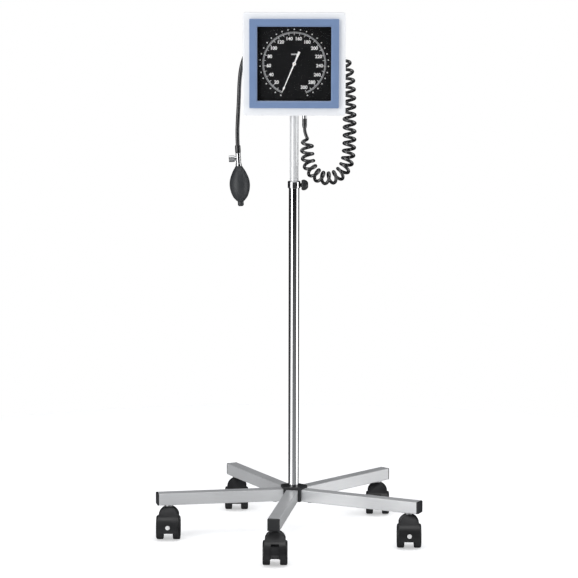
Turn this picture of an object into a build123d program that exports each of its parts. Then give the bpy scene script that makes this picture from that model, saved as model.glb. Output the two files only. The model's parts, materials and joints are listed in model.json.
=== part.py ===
from build123d import *
import math
import os

# A large square-dial aneroid blood pressure monitor on a mobile stand: a five-legged base on
# twin-wheel castors, a two-part telescopic mast, a gauge head with a cuff basket behind it, a
# coiled hose between the cuff and the gauge, and an inflation bulb on its own hose.
#
# Millimetres, +Z up, the floor is Z = 0 and the dial faces -Y. Lengths inside the object are
# given from the mast's axis, and at() turns them into the part's own frame.

# ---- Driving dimensions ---------------------------------------------------------------------
# The mast stands this far from the middle of the footprint, because a star of five legs with
# trailing castors isn't symmetric.
MAST_X = 10.36
MAST_Y = 28.86

# Base
LEG_COUNT = 5
LEG_FIRST_ANGLE = -97.5
LEG_SIZE = 25.0
LEG_WALL = 1.5
LEG_TOP = 94.6
LEG_BOTTOM = LEG_TOP - LEG_SIZE
LEG_END_RADIUS = 286.8
HUB_APOTHEM = 24.0
HUB_TOP = LEG_TOP + 6.0
CAP_THICKNESS = 4.0
CASTOR_INSET = 22.0

# Castors
WHEEL_RADIUS = 25.0
WHEEL_WIDTH = 15.0
WHEEL_GAP = 20.0
CASTOR_TRAIL = 20.0
STEM_RADIUS = 5.5
AXLE_RADIUS = 3.0
HOOD_HALF_WIDTH = 21.0
HOOD_TOP = 66.0
RUNNING_FIT = 0.05

# Mast
MAST_OUTER_RADIUS = 11.0
MAST_OUTER_BORE = 9.5
MAST_OUTER_TOP = 742.0
MAST_INNER_RADIUS = 9.0
MAST_INNER_BORE = 7.5
MAST_INNER_TOP = 945.0
MAST_INNER_BOTTOM = 356.0
COLLAR_BOTTOM = 729.6
COLLAR_TOP = 744.0
COLLAR_RADIUS = 13.25
CLAMP_Z = 736.0
CLAMP_SCREW_RADIUS = 4.0

# Gauge head
CASE_Z = 988.0
CASE_SIZE = 210.0
CASE_FRONT = -50.0
CASE_DEPTH = 28.0
WALL = 3.0
BEZEL_SIZE = 183.0
BEZEL_THICKNESS = 6.0
WINDOW_SIZE = 151.0
DIAL_CENTRE_Z = CASE_Z + 0.6
DIAL_FACE = -42.0
DIAL_THICKNESS = 1.5
BOX_HALF_WIDTH = 72.0
BOX_BACK = 16.0
BASKET_HALF_WIDTH = 80.0
BASKET_DEPTH = 70.0
BASKET_BOTTOM = 905.0
BASKET_TOP = 1010.0

# Movement of the gauge, from the dial's centre
SECTOR_RADIUS = 35.0
PINION_RADIUS = 3.5
GEAR_MODULE = 0.7
SECTOR_PIVOT_X = SECTOR_RADIUS + PINION_RADIUS
TAIL_RADIUS = 8.0
SECTOR_TRAVEL = 31.4
ZERO_ANGLE = -113.0
CAPSULE_Y = -16.0
CAPSULE_RADIUS = 18.0
CAPSULE_BOTTOM = 927.0
CAPSULE_TOP = 951.0

# Hoses
COIL_HOSE_DIAMETER = 6.8
COIL_RADIUS = 14.6
BULB_HOSE_RADIUS = 4.1

os.makedirs("parts", exist_ok=True)

LEG_ANGLES = [LEG_FIRST_ANGLE + 360.0 / LEG_COUNT * number for number in range(LEG_COUNT)]
LEG_AXIS_Z = LEG_TOP - LEG_SIZE / 2
CASTOR_RADIUS = LEG_END_RADIUS - CASTOR_INSET


def at(x, y, z):
    """A point given from the mast's axis, in the part's frame."""
    return Vector(MAST_X + x, MAST_Y + y, z)


def level(z, x=0.0, y=0.0):
    """A horizontal plane at height z, centred x, y away from the mast."""
    return Plane(at(x, y, z), x_dir=(1, 0, 0), z_dir=(0, 0, 1))


def facing(y, x=0.0, z=CASE_Z, turned=0.0):
    """An upright plane that faces the user: local x is to the right and local y is up, unless turned."""
    turn = math.radians(turned)
    return Plane(at(x, y, z), x_dir=(math.cos(turn), 0, math.sin(turn)), z_dir=(0, -1, 0))


def polar(radius, angle):
    """The x and y of a point on the base, from the mast."""
    return radius * math.cos(math.radians(angle)), radius * math.sin(math.radians(angle))


def leg_section(angle, radius):
    """A plane across a leg, whose normal points out along the leg."""
    across = (-math.sin(math.radians(angle)), math.cos(math.radians(angle)), 0)
    along = (math.cos(math.radians(angle)), math.sin(math.radians(angle)), 0)
    return Plane(at(*polar(radius, angle), LEG_AXIS_Z), x_dir=across, z_dir=along)


def screw_plane():
    """Upright, through the clamp's screw: local x is along the screw, local y is away from its axis."""
    return Plane(at(0, 0, CLAMP_Z), x_dir=(1, 0, 0), z_dir=(0, -1, 0))


def across_screw(distance):
    """A plane across the clamp's screw, this far to the right of the mast's axis."""
    return Plane(at(distance, 0, CLAMP_Z), x_dir=(0, 1, 0), z_dir=(1, 0, 0))


def side_plane(centre_x, centre_y, offset):
    """An upright plane seen from the right of a castor: local x is back (+Y), local y is up."""
    return Plane(at(centre_x + offset, centre_y, 0), x_dir=(0, 1, 0), z_dir=(1, 0, 0))


def cross_recess(size):
    """Sketch the cross of a cross-head screw."""
    Rectangle(size, size / 4)
    Rectangle(size / 4, size)


def save(piece, label):
    """Label a finished piece and write its STEP file."""
    piece.part.label = label
    export_step(piece.part, f"parts/{label}.step")


# ---- Base -----------------------------------------------------------------------------------
SPIGOT_LENGTH = 30.0
SPIGOT_SIZE = LEG_SIZE - 2 * LEG_WALL - 0.2
HUB_TIP_RADIUS = HUB_APOTHEM / math.cos(math.pi / LEG_COUNT)
HUB_CORNERS = [polar(HUB_TIP_RADIUS, angle + 180.0 / LEG_COUNT) for angle in LEG_ANGLES]
MAST_SOCKET_FLOOR = LEG_BOTTOM + 6.0
LEG_SCREW_PLACE = HUB_APOTHEM + 15.0
LEG_SCREW_RADIUS = 2.4
MAST_BOLT_RADIUS = 4.0
STEM_FLANGE_RADIUS = 9.0
LEG_CORNER = 1.6

with BuildPart() as hub:
    with BuildSketch(level(LEG_BOTTOM)):
        with BuildLine():
            Polyline(*HUB_CORNERS, close=True)
        make_face()
    extrude(amount=HUB_TOP - LEG_BOTTOM)
    fillet(hub.faces().sort_by(Axis.Z)[-1].edges(), 2.5)
    for leg_angle in LEG_ANGLES:
        with BuildSketch(leg_section(leg_angle, HUB_APOTHEM)):
            Rectangle(SPIGOT_SIZE, SPIGOT_SIZE)
        extrude(amount=SPIGOT_LENGTH)
    with BuildSketch(level(MAST_SOCKET_FLOOR)):
        Circle(MAST_OUTER_RADIUS)
    extrude(amount=HUB_TOP - MAST_SOCKET_FLOOR, mode=Mode.SUBTRACT)
    with BuildSketch(level(LEG_BOTTOM)):
        Circle(MAST_BOLT_RADIUS + 0.2)
    extrude(amount=LEG_SIZE, mode=Mode.SUBTRACT)
    with BuildSketch(level(LEG_BOTTOM)):
        for leg_angle in LEG_ANGLES:
            with Locations(polar(LEG_SCREW_PLACE, leg_angle)):
                Circle(LEG_SCREW_RADIUS + 0.1)
    extrude(amount=12.0, mode=Mode.SUBTRACT)
save(hub, "hub")

for number, leg_angle in enumerate(LEG_ANGLES, start=1):
    castor_x, castor_y = polar(CASTOR_RADIUS, leg_angle)
    screw_x, screw_y = polar(LEG_SCREW_PLACE, leg_angle)
    with BuildPart() as leg:
        with BuildSketch(leg_section(leg_angle, HUB_APOTHEM)):
            RectangleRounded(LEG_SIZE, LEG_SIZE, LEG_CORNER)
            Rectangle(LEG_SIZE - 2 * LEG_WALL, LEG_SIZE - 2 * LEG_WALL, mode=Mode.SUBTRACT)
        extrude(amount=LEG_END_RADIUS - HUB_APOTHEM)
        with BuildSketch(level(LEG_BOTTOM - 1.0, castor_x, castor_y)):
            Circle(STEM_RADIUS)
        extrude(amount=LEG_WALL + 2.0, mode=Mode.SUBTRACT)
        with BuildSketch(level(LEG_BOTTOM - 1.0, screw_x, screw_y)):
            Circle(LEG_SCREW_RADIUS + 0.2)
        extrude(amount=LEG_WALL + 2.0, mode=Mode.SUBTRACT)
    save(leg, f"leg_{number}")

with BuildPart() as leg_end_caps:
    for leg_angle in LEG_ANGLES:
        with BuildSketch(leg_section(leg_angle, LEG_END_RADIUS)):
            RectangleRounded(LEG_SIZE, LEG_SIZE, LEG_CORNER)
        extrude(amount=CAP_THICKNESS)
        with BuildSketch(leg_section(leg_angle, LEG_END_RADIUS)):
            Rectangle(SPIGOT_SIZE, SPIGOT_SIZE)
        extrude(amount=-8.0)
    for leg_angle in LEG_ANGLES:
        along = Vector(*polar(1.0, leg_angle), 0)
        outward = leg_end_caps.faces().filter_by(lambda face: (face.normal_at() - along).length < 0.01)
        outside = at(*polar(LEG_END_RADIUS + 9.0, leg_angle), LEG_AXIS_Z)
        chamfer(outward.sort_by_distance(outside)[0].edges(), 1.5)
save(leg_end_caps, "leg_end_caps")

with BuildPart() as castor_sockets:
    for leg_angle in LEG_ANGLES:
        with BuildSketch(leg_section(leg_angle, CASTOR_RADIUS - 11.0)):
            Rectangle(SPIGOT_SIZE, SPIGOT_SIZE)
        extrude(amount=22.0)
        with BuildSketch(level(LEG_BOTTOM, *polar(CASTOR_RADIUS, leg_angle))):
            Circle(STEM_RADIUS)
        extrude(amount=20.0, mode=Mode.SUBTRACT)
save(castor_sockets, "castor_sockets")

STEM_BOTTOM = 47.0
STEM_TOP = 88.0
STEM_COLLAR = (LEG_BOTTOM - 2.6, LEG_BOTTOM)

with BuildPart() as castor_stems:
    for leg_angle in LEG_ANGLES:
        stem_x, stem_y = polar(CASTOR_RADIUS, leg_angle)
        with BuildSketch(level(STEM_BOTTOM, stem_x, stem_y)):
            Circle(STEM_RADIUS)
        extrude(amount=STEM_TOP - STEM_BOTTOM)
        with BuildSketch(level(STEM_COLLAR[0], stem_x, stem_y)):
            Circle(STEM_FLANGE_RADIUS)
        extrude(amount=STEM_COLLAR[1] - STEM_COLLAR[0])
save(castor_stems, "castor_stems")

with BuildPart() as leg_screws:
    for leg_angle in LEG_ANGLES:
        screw_x, screw_y = polar(LEG_SCREW_PLACE, leg_angle)
        with BuildSketch(level(LEG_BOTTOM - 3.0, screw_x, screw_y)):
            Circle(5.0)
        extrude(amount=3.0)
        with BuildSketch(level(LEG_BOTTOM, screw_x, screw_y)):
            Circle(LEG_SCREW_RADIUS)
        extrude(amount=11.5)
        with BuildSketch(level(LEG_BOTTOM - 3.0, screw_x, screw_y)):
            RegularPolygon(radius=2.0, side_count=6)
        extrude(amount=1.6, mode=Mode.SUBTRACT)
save(leg_screws, "leg_screws")

with BuildPart() as mast_bolt:
    with BuildSketch(level(LEG_BOTTOM - 7.0)):
        RegularPolygon(radius=7.5, side_count=6)
    extrude(amount=5.4)
    with BuildSketch(level(LEG_BOTTOM - 1.6)):
        Circle(9.0)
    extrude(amount=1.6)
    with BuildSketch(level(LEG_BOTTOM)):
        Circle(MAST_BOLT_RADIUS)
    extrude(amount=20.0)
save(mast_bolt, "mast_bolt")

# ---- Mast -----------------------------------------------------------------------------------
MAST_FOOT_LENGTH = 16.0

with BuildPart() as mast_outer:
    with BuildSketch(level(MAST_SOCKET_FLOOR)):
        Circle(MAST_OUTER_RADIUS)
        Circle(MAST_OUTER_BORE, mode=Mode.SUBTRACT)
    extrude(amount=MAST_OUTER_TOP - MAST_SOCKET_FLOOR)
    # The welded foot that the bolt screws into
    with BuildSketch(level(MAST_SOCKET_FLOOR)):
        Circle(MAST_OUTER_BORE + 0.5)
        Circle(MAST_BOLT_RADIUS, mode=Mode.SUBTRACT)
    extrude(amount=MAST_FOOT_LENGTH)
    # The opening that the clamp's screw passes through
    with BuildSketch(across_screw(0)):
        Circle(CLAMP_SCREW_RADIUS + 0.3)
    extrude(amount=MAST_OUTER_RADIUS + 1.0, mode=Mode.SUBTRACT)
save(mast_outer, "mast_outer")

with BuildPart() as clamp_collar:
    with BuildSketch(level(COLLAR_BOTTOM)):
        Circle(COLLAR_RADIUS)
    extrude(amount=COLLAR_TOP - COLLAR_BOTTOM)
    chamfer(clamp_collar.edges().filter_by(GeomType.CIRCLE), 1.0)
    with BuildSketch(level(COLLAR_BOTTOM)):
        Circle(MAST_OUTER_RADIUS)
    extrude(amount=MAST_OUTER_TOP - COLLAR_BOTTOM, mode=Mode.SUBTRACT)
    with BuildSketch(level(COLLAR_BOTTOM)):
        Circle(MAST_INNER_RADIUS + 0.08)
    extrude(amount=COLLAR_TOP - COLLAR_BOTTOM, mode=Mode.SUBTRACT)
    with BuildSketch(across_screw(0)):
        Circle(CLAMP_SCREW_RADIUS + RUNNING_FIT)
    extrude(amount=COLLAR_RADIUS + 2.0, mode=Mode.SUBTRACT)
save(clamp_collar, "clamp_collar")

KNOB_BASE = 15.2
KNOB_END = 29.3
KNOB_RADIUS = 11.2
PAD_FACE = MAST_INNER_RADIUS + RUNNING_FIT
PAD_END = 12.0
SCREW_TIP = 10.6
SCREW_TIP_RADIUS = 2.0

with BuildPart() as clamp_pad:
    with BuildSketch(screw_plane()):
        with BuildLine():
            Polyline(
                (PAD_FACE, 0), (PAD_FACE, 2.6), (9.6, 3.4), (PAD_END, 3.4),
                (PAD_END, SCREW_TIP_RADIUS + RUNNING_FIT), (SCREW_TIP, SCREW_TIP_RADIUS + RUNNING_FIT),
                (SCREW_TIP, 0), close=True,
            )
        make_face()
    revolve(axis=Axis(at(0, 0, CLAMP_Z), (1, 0, 0)))
save(clamp_pad, "clamp_pad")

with BuildPart() as clamp_knob:
    with BuildSketch(screw_plane()):
        with BuildLine():
            Polyline(
                (SCREW_TIP + RUNNING_FIT, 0), (SCREW_TIP + RUNNING_FIT, SCREW_TIP_RADIUS),
                (PAD_END + 0.1, SCREW_TIP_RADIUS), (PAD_END + 0.1, CLAMP_SCREW_RADIUS),
                (KNOB_BASE, CLAMP_SCREW_RADIUS), (KNOB_BASE, 9.0),
            )
            ThreePointArc((KNOB_BASE, 9.0), (17.0, KNOB_RADIUS - 0.5), (19.5, KNOB_RADIUS))
            ThreePointArc((19.5, KNOB_RADIUS), (26.0, 9.0), (KNOB_END, 4.0))
            Polyline((KNOB_END, 4.0), (KNOB_END, 0), (SCREW_TIP + RUNNING_FIT, 0))
        make_face()
    revolve(axis=Axis(at(0, 0, CLAMP_Z), (1, 0, 0)))
    # The grip's flutes
    with BuildSketch(across_screw(KNOB_BASE + 1.6)):
        with PolarLocations(KNOB_RADIUS + 1.9, 8):
            Circle(2.6)
    extrude(amount=KNOB_END - KNOB_BASE, mode=Mode.SUBTRACT)
save(clamp_knob, "clamp_knob")

with BuildPart() as mast_bush:
    with BuildSketch(level(MAST_INNER_BOTTOM - 18.0)):
        Circle(MAST_OUTER_BORE - RUNNING_FIT)
    extrude(amount=18.0)
    with BuildSketch(level(MAST_INNER_BOTTOM)):
        Circle(MAST_INNER_BORE - RUNNING_FIT)
    extrude(amount=26.0)
save(mast_bush, "mast_bush")

with BuildPart() as mast_inner:
    with BuildSketch(level(MAST_INNER_BOTTOM)):
        Circle(MAST_INNER_RADIUS)
        Circle(MAST_INNER_BORE, mode=Mode.SUBTRACT)
    extrude(amount=MAST_INNER_TOP - MAST_INNER_BOTTOM)
save(mast_inner, "mast_inner")

# ---- Gauge case -----------------------------------------------------------------------------
INLET_X = 21.5
INLET_Y = -40.0
CASE_BACK_FACE = CASE_FRONT + CASE_DEPTH
COVER_FACE = CASE_BACK_FACE - WALL
CASE_BOTTOM = CASE_Z - CASE_SIZE / 2
COVER_SCREW = 96.0
DIAL_SCREW = 79.0
BOX_BOTTOM = CASE_Z - 96.0
BOX_TOP = CASE_Z + 80.0
BOX_MIDDLE = (BOX_TOP + BOX_BOTTOM) / 2
SHELF_TOP = CAPSULE_BOTTOM - 6.0
CAPSULE_X = SECTOR_PIVOT_X + TAIL_RADIUS

with BuildPart() as case_front:
    with BuildSketch(facing(CASE_FRONT)):
        RectangleRounded(CASE_SIZE, CASE_SIZE, 6.0)
    extrude(amount=-CASE_DEPTH)
    fillet(case_front.faces().sort_by(Axis.Y)[0].edges(), 2.5)
    with BuildSketch(facing(CASE_FRONT + WALL)):
        RectangleRounded(CASE_SIZE - 2 * WALL, CASE_SIZE - 2 * WALL, 4.0)
    extrude(amount=-CASE_DEPTH, mode=Mode.SUBTRACT)
    with BuildSketch(facing(CASE_FRONT, z=DIAL_CENTRE_Z)):
        RectangleRounded(WINDOW_SIZE, WINDOW_SIZE, 2.0)
    extrude(amount=-WALL, mode=Mode.SUBTRACT)
    with BuildSketch(facing(CASE_FRONT + WALL)):
        with GridLocations(2 * COVER_SCREW, 2 * COVER_SCREW, 2, 2):
            Circle(4.5)
    extrude(amount=-(COVER_FACE - CASE_FRONT - WALL))
    with BuildSketch(facing(CASE_FRONT + WALL, z=DIAL_CENTRE_Z)):
        with GridLocations(2 * DIAL_SCREW, 2 * DIAL_SCREW, 2, 2):
            Circle(3.0)
    extrude(amount=-(DIAL_FACE - CASE_FRONT - WALL))
    with BuildSketch(level(CASE_BOTTOM - 1.0, INLET_X, INLET_Y)):
        Circle(4.1)
    extrude(amount=WALL + 2.0, mode=Mode.SUBTRACT)
    with BuildSketch(facing(COVER_FACE)):
        with GridLocations(2 * COVER_SCREW, 2 * COVER_SCREW, 2, 2):
            Circle(1.5)
    extrude(amount=12.0, mode=Mode.SUBTRACT)
    with BuildSketch(facing(DIAL_FACE, z=DIAL_CENTRE_Z)):
        with GridLocations(2 * DIAL_SCREW, 2 * DIAL_SCREW, 2, 2):
            Circle(1.25)
    extrude(amount=4.0, mode=Mode.SUBTRACT)
save(case_front, "case_front")

with BuildPart() as case_back:
    with BuildSketch(facing(COVER_FACE)):
        RectangleRounded(CASE_SIZE - 2 * WALL - 0.4, CASE_SIZE - 2 * WALL - 0.4, 3.8)
    extrude(amount=-WALL)
    with BuildSketch(facing(COVER_FACE, z=BOX_MIDDLE)):
        RectangleRounded(2 * BOX_HALF_WIDTH, BOX_TOP - BOX_BOTTOM, 8.0)
    extrude(amount=-(BOX_BACK - COVER_FACE))
    with BuildSketch(facing(COVER_FACE, z=BOX_MIDDLE)):
        RectangleRounded(2 * (BOX_HALF_WIDTH - WALL), BOX_TOP - BOX_BOTTOM - 2 * WALL, 5.0)
    extrude(amount=-(BOX_BACK - WALL - COVER_FACE), mode=Mode.SUBTRACT)
    # The socket that holds the mast
    with BuildSketch(level(BOX_BOTTOM)):
        Circle(MAST_INNER_RADIUS + 4.2)
    extrude(amount=MAST_INNER_TOP + WALL - BOX_BOTTOM)
    with BuildSketch(level(BOX_BOTTOM)):
        Circle(MAST_INNER_RADIUS)
    extrude(amount=MAST_INNER_TOP - BOX_BOTTOM, mode=Mode.SUBTRACT)
    # The shelf that the pressure capsule stands on
    with BuildSketch(level(SHELF_TOP - WALL)):
        with Locations((CAPSULE_X, (COVER_FACE + BOX_BACK) / 2 - 1.0)):
            Rectangle(2 * (BOX_HALF_WIDTH - 1.0 - CAPSULE_X), BOX_BACK - COVER_FACE - 2.0)
    extrude(amount=WALL)
    with BuildSketch(level(SHELF_TOP - WALL, CAPSULE_X, CAPSULE_Y)):
        Circle(3.1)
    extrude(amount=WALL, mode=Mode.SUBTRACT)
    with BuildSketch(facing(COVER_FACE)):
        with GridLocations(2 * COVER_SCREW, 2 * COVER_SCREW, 2, 2):
            Circle(1.7)
    extrude(amount=-WALL, mode=Mode.SUBTRACT)
save(case_back, "case_back")

with BuildPart() as bezel:
    with BuildSketch(facing(CASE_FRONT - BEZEL_THICKNESS, z=DIAL_CENTRE_Z)):
        with Locations((0, 0.6)):
            RectangleRounded(BEZEL_SIZE, BEZEL_SIZE - 1.5, 1.5)
        RectangleRounded(WINDOW_SIZE, WINDOW_SIZE, 1.0, mode=Mode.SUBTRACT)
    extrude(amount=-BEZEL_THICKNESS)
    front_face = bezel.faces().sort_by(Axis.Y)[0]
    chamfer(front_face.inner_wires()[0].edges(), 3.3, 3.2, reference=front_face)
    chamfer(bezel.faces().sort_by(Axis.Y)[0].outer_wire().edges(), 0.8)
    with BuildSketch(facing(CASE_FRONT, z=DIAL_CENTRE_Z)):
        Rectangle(WINDOW_SIZE + 7.0, WINDOW_SIZE + 7.0)
    extrude(amount=2.0, mode=Mode.SUBTRACT)
save(bezel, "bezel")

with BuildPart() as lens:
    with BuildSketch(facing(CASE_FRONT, z=DIAL_CENTRE_Z)):
        Rectangle(WINDOW_SIZE + 6.6, WINDOW_SIZE + 6.6)
    extrude(amount=1.9)
save(lens, "lens")

with BuildPart() as dial_plate:
    with BuildSketch(facing(DIAL_FACE, z=DIAL_CENTRE_Z)):
        Rectangle(2 * DIAL_SCREW + 10.0, 2 * DIAL_SCREW + 10.0)
        Circle(2.5, mode=Mode.SUBTRACT)
        with GridLocations(2 * DIAL_SCREW, 2 * DIAL_SCREW, 2, 2):
            Circle(1.4, mode=Mode.SUBTRACT)
    extrude(amount=-DIAL_THICKNESS)
save(dial_plate, "dial_plate")

SET_SCREW_Z = BOX_BOTTOM + 7.0
BASKET_WALL = 2.5
BASKET_SCREWS = [(-55.0, 960.0), (55.0, 960.0)]
COVER_HEAD = 2.0
BASKET_HEAD = 2.2
RECESS_DEPTH = 1.2

with BuildPart() as case_screws:
    # Rear cover to the front shell
    with BuildSketch(facing(CASE_BACK_FACE + COVER_HEAD)):
        with GridLocations(2 * COVER_SCREW, 2 * COVER_SCREW, 2, 2):
            Circle(3.0)
    extrude(amount=COVER_HEAD)
    with BuildSketch(facing(CASE_BACK_FACE)):
        with GridLocations(2 * COVER_SCREW, 2 * COVER_SCREW, 2, 2):
            Circle(1.4)
    extrude(amount=12.0)
    with BuildSketch(facing(CASE_BACK_FACE + COVER_HEAD)):
        with GridLocations(2 * COVER_SCREW, 2 * COVER_SCREW, 2, 2):
            cross_recess(3.6)
    extrude(amount=RECESS_DEPTH, mode=Mode.SUBTRACT)
    # Dial plate to its posts
    with BuildSketch(facing(DIAL_FACE + DIAL_THICKNESS + 1.5, z=DIAL_CENTRE_Z)):
        with GridLocations(2 * DIAL_SCREW, 2 * DIAL_SCREW, 2, 2):
            Circle(2.6)
    extrude(amount=1.5)
    with BuildSketch(facing(DIAL_FACE + DIAL_THICKNESS, z=DIAL_CENTRE_Z)):
        with GridLocations(2 * DIAL_SCREW, 2 * DIAL_SCREW, 2, 2):
            Circle(1.15)
    extrude(amount=DIAL_THICKNESS + 3.5)
    # Basket to the box behind the cover
    for screw_x, screw_z in BASKET_SCREWS:
        with BuildSketch(facing(BOX_BACK + BASKET_WALL + BASKET_HEAD, screw_x, screw_z)):
            Circle(4.0)
        extrude(amount=BASKET_HEAD)
        with BuildSketch(facing(BOX_BACK + BASKET_WALL, screw_x, screw_z)):
            Circle(2.0)
        extrude(amount=BASKET_WALL)
        with BuildSketch(facing(BOX_BACK + BASKET_WALL + BASKET_HEAD, screw_x, screw_z)):
            cross_recess(4.8)
        extrude(amount=RECESS_DEPTH, mode=Mode.SUBTRACT)
    # The set screw that pins the head to the mast
    with BuildSketch(facing(BOX_BACK + 2.0, 0, SET_SCREW_Z)):
        Circle(3.5)
        RegularPolygon(radius=1.6, side_count=6, mode=Mode.SUBTRACT)
    extrude(amount=2.0)
save(case_screws, "case_screws")

# ---- Movement -------------------------------------------------------------------------------
FRAME_FRONT = DIAL_FACE + DIAL_THICKNESS
FRAME_BACK = -27.5
PLATE = 1.5
FRAME_PILLARS = [(-9.0, 12.0), (-9.0, -12.0), (35.0, 13.0), (35.0, -13.0)]
GEAR_PLANE_Y = -32.0
ARBOR_RADIUS = 1.0
ARBOR_TIP = -47.0
SECTOR_ARBOR_RADIUS = 1.2


def tooth_points(radius, angle, backlash):
    """The four corners of one gear tooth, root to root, about a centre at the sketch's origin."""
    pitch = math.pi * GEAR_MODULE
    root, tip = radius - 0.95 * GEAR_MODULE, radius + 0.6 * GEAR_MODULE
    half_root, half_tip = 0.36 * pitch - backlash, 0.13 * pitch - backlash
    corners = []
    for distance, half in ((root, -half_root), (tip, -half_tip), (tip, half_tip), (root, half_root)):
        turned = math.radians(angle) + half / distance
        corners.append((distance * math.cos(turned), distance * math.sin(turned)))
    return corners


with BuildPart() as movement_frame:
    for plate_front in (FRAME_FRONT, FRAME_BACK - PLATE):
        with BuildSketch(facing(plate_front, z=DIAL_CENTRE_Z)):
            with Locations((15.0, 0)):
                Rectangle(56.0, 34.0)
            Circle(ARBOR_RADIUS + RUNNING_FIT, mode=Mode.SUBTRACT)
            with Locations((SECTOR_PIVOT_X, 0)):
                Circle(SECTOR_ARBOR_RADIUS + RUNNING_FIT, mode=Mode.SUBTRACT)
        extrude(amount=-PLATE)
    with BuildSketch(facing(FRAME_FRONT, z=DIAL_CENTRE_Z)):
        with Locations(*FRAME_PILLARS):
            Circle(1.8)
    extrude(amount=-(FRAME_BACK - FRAME_FRONT))
save(movement_frame, "movement_frame")

PINION_TEETH = round(2 * PINION_RADIUS / GEAR_MODULE)
SECTOR_TEETH_PER_TURN = round(2 * SECTOR_RADIUS / GEAR_MODULE)
TOOTH_STEP = 360.0 / SECTOR_TEETH_PER_TURN
BACKLASH = 0.06

with BuildPart() as pinion_arbor:
    # A tooth of the pinion points at the sector's pivot, between two teeth of the sector
    with BuildSketch(facing(GEAR_PLANE_Y - 2.0, z=DIAL_CENTRE_Z)):
        outline = []
        for tooth in range(PINION_TEETH):
            outline += tooth_points(PINION_RADIUS, 360.0 / PINION_TEETH * tooth, BACKLASH)
        with BuildLine():
            Polyline(*outline, close=True)
        make_face()
    extrude(amount=-4.0)
    with BuildSketch(facing(ARBOR_TIP, z=DIAL_CENTRE_Z)):
        Circle(ARBOR_RADIUS)
    extrude(amount=-(FRAME_BACK - ARBOR_TIP))
save(pinion_arbor, "pinion_arbor")

with BuildPart() as sector_gear:
    # The teeth start a few steps past the mesh and end past the far end of the travel
    first_tooth = -3.5
    tooth_count = math.ceil(SECTOR_TRAVEL / TOOTH_STEP) + 7
    with BuildSketch(facing(GEAR_PLANE_Y, SECTOR_PIVOT_X, DIAL_CENTRE_Z)):
        rim = []
        for tooth in range(tooth_count):
            angle = 180.0 - (first_tooth + tooth) * TOOTH_STEP
            rim += reversed(tooth_points(SECTOR_RADIUS, angle, BACKLASH))
        with BuildLine():
            Polyline((0, 0), *rim, close=True)
        make_face()
        Circle(4.0)
    extrude(amount=-PLATE)
    with BuildSketch(facing(GEAR_PLANE_Y, SECTOR_PIVOT_X, DIAL_CENTRE_Z, turned=-SECTOR_TRAVEL / 2)):
        with Locations((TAIL_RADIUS / 2, 0)):
            Rectangle(TAIL_RADIUS + 3.0, 3.2)
    extrude(amount=-PLATE)
    with BuildSketch(facing(FRAME_FRONT, SECTOR_PIVOT_X, DIAL_CENTRE_Z)):
        Circle(SECTOR_ARBOR_RADIUS)
    extrude(amount=-(FRAME_BACK - FRAME_FRONT))
    # The tail's pin, which the link lifts
    with BuildSketch(facing(GEAR_PLANE_Y, SECTOR_PIVOT_X, DIAL_CENTRE_Z)):
        with Locations(polar(TAIL_RADIUS, -SECTOR_TRAVEL / 2)):
            Circle(0.8)
    extrude(amount=-(CAPSULE_Y + 3.0 - GEAR_PLANE_Y))
save(sector_gear, "sector_gear")

TAIL_PIN_Z = DIAL_CENTRE_Z + polar(TAIL_RADIUS, -SECTOR_TRAVEL / 2)[1]
LINK_BOTTOM = CAPSULE_TOP + 3.0

with BuildPart() as link_rod:
    with BuildSketch(level(LINK_BOTTOM, CAPSULE_X, CAPSULE_Y)):
        Circle(1.5)
    extrude(amount=TAIL_PIN_Z - 3.0 - LINK_BOTTOM)
    # The head, with a slot across it that the sector's pin works in
    with BuildSketch(facing(CAPSULE_Y - 1.5, CAPSULE_X, TAIL_PIN_Z)):
        Rectangle(7.0, 6.6)
        SlotOverall(4.6, 1.8, mode=Mode.SUBTRACT)
    extrude(amount=-3.0)
save(link_rod, "link_rod")

with BuildPart() as capsule:
    with BuildSketch(Plane(at(CAPSULE_X, CAPSULE_Y, CAPSULE_BOTTOM), x_dir=(1, 0, 0), z_dir=(0, -1, 0))):
        fold_count = 4
        fold = (CAPSULE_TOP - CAPSULE_BOTTOM) / fold_count
        edge = [(0, 0)]
        for number in range(fold_count):
            edge.append((CAPSULE_RADIUS - 6.0, fold * number))
            edge.append((CAPSULE_RADIUS, fold * (number + 0.5)))
        edge += [(CAPSULE_RADIUS - 6.0, fold * fold_count), (3.0, fold * fold_count)]
        edge += [(3.0, LINK_BOTTOM - CAPSULE_BOTTOM), (0, LINK_BOTTOM - CAPSULE_BOTTOM)]
        with BuildLine():
            Polyline(*edge, close=True)
        make_face()
    revolve(axis=Axis(at(CAPSULE_X, CAPSULE_Y, 0), (0, 0, 1)))
save(capsule, "capsule")

PIPE_RADIUS = 1.5
INLET_TOP = 894.0

with BuildPart() as capsule_base:
    with BuildSketch(level(SHELF_TOP, CAPSULE_X, CAPSULE_Y)):
        RegularPolygon(radius=9.0, side_count=6)
    extrude(amount=CAPSULE_BOTTOM - SHELF_TOP)
    with BuildSketch(level(SHELF_TOP, CAPSULE_X, CAPSULE_Y)):
        Circle(3.0)
    extrude(amount=-WALL - 4.0)
    # The pipe from the inlet
    with BuildLine() as pipe_route:
        FilletPolyline(
            at(INLET_X, INLET_Y, INLET_TOP),
            at(INLET_X, INLET_Y, INLET_TOP + 6.0),
            at(CAPSULE_X, CAPSULE_Y, INLET_TOP + 6.0),
            at(CAPSULE_X, CAPSULE_Y, SHELF_TOP - WALL - 3.0),
            radius=3.0,
        )
    with BuildSketch(level(INLET_TOP, INLET_X, INLET_Y)):
        Circle(PIPE_RADIUS)
    sweep()
save(capsule_base, "capsule_base")

BARB_BOTTOM = 862.0
SLEEVE_TOP = 876.5

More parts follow.
